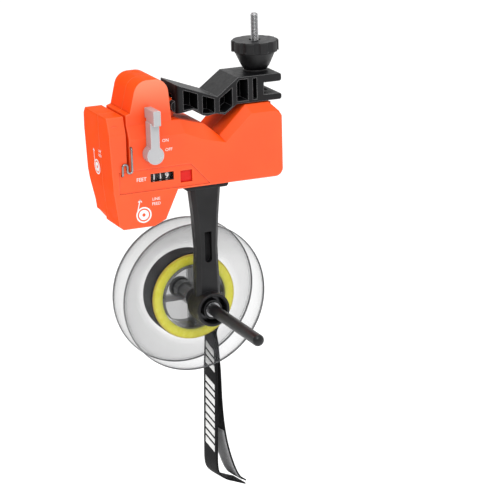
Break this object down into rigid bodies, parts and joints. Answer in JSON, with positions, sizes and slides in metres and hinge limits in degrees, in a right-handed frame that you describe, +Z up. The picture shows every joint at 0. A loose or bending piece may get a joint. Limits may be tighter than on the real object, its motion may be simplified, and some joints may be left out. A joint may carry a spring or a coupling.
{
  "type": "fishing line winder",
  "caption": "Clamp-on counter that measures fishing line as it is wound from a clear supply spool on an arm, with a knob clamp and a pressure lever.",
  "frame": {"origin": "on the axis of the clamped rod, halfway through the depth of the housing", "axes": "+X to the right along the housing towards the knob, +Y from the counter's face to the back, along the rod, +Z up"},
  "size_m": [0.141, 0.155, 0.3688],
  "materials": {
    "orange_shell": "satin orange moulding",
    "black_moulding": "fine-grained black moulding",
    "chrome": "polished",
    "bright_steel": "turned and polished",
    "spring_steel": "drawn wire",
    "black_steel": "blackened rod",
    "screw_steel": "zinc plated",
    "brass": "turned",
    "clear": "clear moulding",
    "line": "fluorescent yellow monofilament",
    "band": "woven elastic, black",
    "rubber": "moulded",
    "digits": "black with white numerals",
    "white_gear": "natural acetal",
    "red_button": "red moulding",
    "fibre": "hard fibre"
  },
  "bodies": {
    "housing": {"front_housing": "orange_shell", "rear_housing": "orange_shell", "housing_screws": "screw_steel", "line_guide_wire": "chrome", "feed_eyelet": "chrome", "counter_window": "clear", "counter_frame": "black_moulding", "reset_spring": "spring_steel", "pressure_pivot": "bright_steel", "pressure_spring": "spring_steel", "spool_arm": "black_moulding", "arm_screws": "screw_steel", "hinge_pin": "bright_steel", "clamp_stud": "bright_steel", "spindle_bush": "black_steel", "bush_ring": "bright_steel", "brake_washer": "fibre", "tension_spring": "spring_steel"},
    "clamp_bar": {"clamp_bar": "black_moulding"},
    "clamp_washer": {"clamp_washer": "bright_steel"},
    "clamp_knob": {"clamp_knob": "black_moulding", "knob_insert": "brass"},
    "tension_lever": {"tension_lever": "chrome", "lever_shaft": "bright_steel", "lever_cam": "black_moulding"},
    "pressure_arm": {"pressure_arm": "bright_steel", "roller_axle": "bright_steel"},
    "pressure_roller": {"pressure_roller": "rubber"},
    "measuring_wheel": {"measuring_wheel": "black_moulding", "wheel_tyre": "rubber", "measuring_shaft": "bright_steel", "counter_worm": "brass"},
    "units_wheel": {"units_wheel": "digits", "worm_gear": "white_gear", "counter_shaft": "bright_steel"},
    "tens_wheel": {"tens_wheel": "digits"},
    "hundreds_wheel": {"hundreds_wheel": "digits"},
    "reset_button": {"reset_button": "red_button"},
    "spindle": {"spindle": "black_steel", "spindle_collar": "bright_steel", "spool_nut": "black_steel", "spool_strap": "band"},
    "spool": {"supply_spool": "clear", "wound_line": "line"}
  },
  "joints": [
    {"name": "knob_turn", "type": "hinge", "parent": "clamp_washer", "child": "clamp_knob", "pos_m": [0.0375, 0, 0.04], "axis": [0, 0, 1], "range_deg": [0, 4321]},
    {"name": "clamp_lift", "type": "slide", "parent": "housing", "child": "clamp_washer", "axis": [0, 0, 1], "range_m": [0, 0.012]},
    {"name": "bar_tilt", "type": "hinge", "parent": "housing", "child": "clamp_bar", "pos_m": [-0.0305, 0, 0.015], "axis": [0, -1, 0], "range_deg": [0, 8.8]},
    {"name": "lever_turn", "type": "hinge", "parent": "housing", "child": "tension_lever", "pos_m": [-0.0552, 0, -0.0143], "axis": [0, 1, 0], "range_deg": [0, 40]},
    {"name": "pressure_swing", "type": "hinge", "parent": "housing", "child": "pressure_arm", "pos_m": [-0.066, 0, -0.035], "axis": [0, 1, 0], "range_deg": [0, 5.65], "deforming": ["pressure_spring"]},
    {"name": "wheel_spin", "type": "hinge", "parent": "housing", "child": "measuring_wheel", "pos_m": [-0.0572, 0, -0.044], "axis": [0, 1, 0], "continuous": true},
    {"name": "roller_spin", "type": "hinge", "parent": "pressure_arm", "child": "pressure_roller", "pos_m": [-0.07656, 0, -0.044], "axis": [0, 1, 0], "continuous": true},
    {"name": "units_spin", "type": "hinge", "parent": "housing", "child": "units_wheel", "pos_m": [0, -0.011, -0.033], "axis": [1, 0, 0], "continuous": true},
    {"name": "tens_spin", "type": "hinge", "parent": "housing", "child": "tens_wheel", "pos_m": [0, -0.011, -0.033], "axis": [1, 0, 0], "continuous": true},
    {"name": "hundreds_spin", "type": "hinge", "parent": "housing", "child": "hundreds_wheel", "pos_m": [0, -0.011, -0.033], "axis": [1, 0, 0], "continuous": true},
    {"name": "reset_press", "type": "slide", "parent": "housing", "child": "reset_button", "axis": [0, 1, 0], "range_m": [0, 0.0025], "stiffness_N_per_m": 200, "springref_m": -0.003, "deforming": ["reset_spring"]},
    {"name": "spindle_push", "type": "slide", "parent": "housing", "child": "spindle", "axis": [0, 1, 0], "range_m": [0, 0.005], "stiffness_N_per_m": 800, "springref_m": -0.004, "deforming": ["tension_spring"]},
    {"name": "spool_spin", "type": "hinge", "parent": "spindle", "child": "spool", "pos_m": [-0.0116, 0, -0.1373], "axis": [0, 1, 0], "continuous": true}
  ],
  "couplings": [
    {"joint": "knob_turn", "follows": "clamp_lift", "rad_per_m": 6283.2},
    {"joint": "bar_tilt", "follows": "clamp_lift", "rad_per_m": 12.654},
    {"joint": "pressure_swing", "follows": "lever_turn", "ratio": 0.14},
    {"joint": "roller_spin", "follows": "wheel_spin", "ratio": -3.8872},
    {"joint": "units_spin", "follows": "wheel_spin", "ratio": -0.03125},
    {"joint": "tens_spin", "follows": "wheel_spin", "ratio": -0.003125},
    {"joint": "hundreds_spin", "follows": "wheel_spin", "ratio": -0.0003125}
  ]
}
